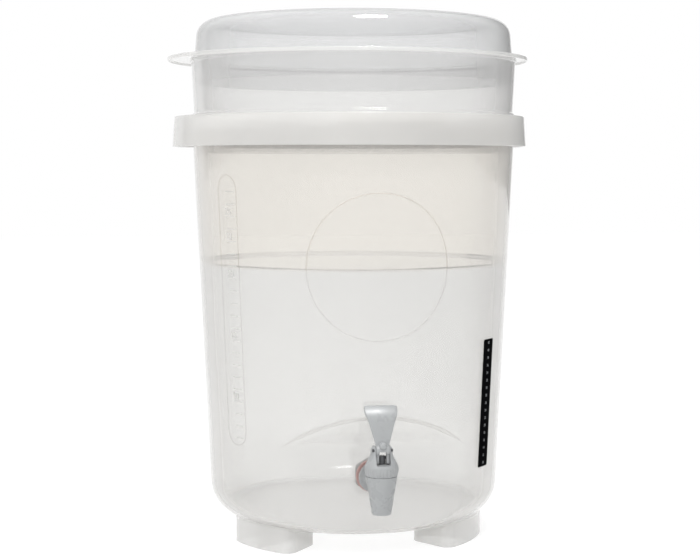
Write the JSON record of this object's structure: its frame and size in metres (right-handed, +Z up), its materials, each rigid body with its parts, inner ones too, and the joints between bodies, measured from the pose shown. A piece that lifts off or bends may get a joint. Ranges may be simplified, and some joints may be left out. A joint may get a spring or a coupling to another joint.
{
  "type": "fermenting bucket",
  "caption": "Translucent tapered plastic fermenting bucket on feet, with a nested foam collar, domed eared lid, stick-on thermometer strip and sprung lever tap.",
  "frame": {"origin": "on the floor, under the middle of the whole object's box", "axes": "+Z up along the bucket's axis, -Y towards the user and the tap, +X to the user's right, where the smaller lifting ear is"},
  "size_m": [0.3796, 0.3696, 0.5457],
  "materials": {
    "vessel_plastic": "frosted, see-through",
    "collar_plastic": "frosted, see-through",
    "lid_plastic": "frosted, see-through",
    "brew_liquid": "pale, slightly cloudy liquid",
    "strip_film": "satin film",
    "tap_plastic": "satin grey",
    "dark_plastic": "satin dark grey",
    "silicone": "matte",
    "spring_steel": "drawn wire",
    "grey_rubber": "matte",
    "red_rubber": "matte"
  },
  "bodies": {
    "bucket": {"vessel": "vessel_plastic", "brew": "brew_liquid", "thermometer_strip": "strip_film", "tap_body": "tap_plastic", "tap_bonnet": "tap_plastic", "lever_pin": "dark_plastic", "back_nut": "tap_plastic", "inner_washer": "red_rubber", "outer_washer": "grey_rubber"},
    "collar": {"foam_collar": "collar_plastic"},
    "lid": {"lid": "lid_plastic"},
    "lever": {"tap_lever": "tap_plastic"},
    "valve": {"valve_stem": "dark_plastic", "seat_cup": "silicone", "return_spring": "spring_steel"}
  },
  "joints": [
    {"name": "collar_lift", "type": "slide", "parent": "bucket", "child": "collar", "axis": [0, 0, 1], "range_m": [0, 0.08]},
    {"name": "lid_lift", "type": "slide", "parent": "collar", "child": "lid", "axis": [0, 0, 1], "range_m": [0, 0.06]},
    {"name": "lever_tilt", "type": "hinge", "parent": "bucket", "child": "lever", "pos_m": [0.00595, -0.1732, 0.1168], "axis": [1, 0, 0], "range_deg": [0, 25], "stiffness_Nm_per_rad": 0.02, "springref_deg": -17.19},
    {"name": "stem_lift", "type": "slide", "parent": "bucket", "child": "valve", "axis": [0, 0, 1], "range_m": [0, 0.0038], "deforming": ["return_spring"]}
  ],
  "couplings": [
    {"joint": "stem_lift", "follows": "lever_tilt", "m_per_rad": 0.0086}
  ]
}
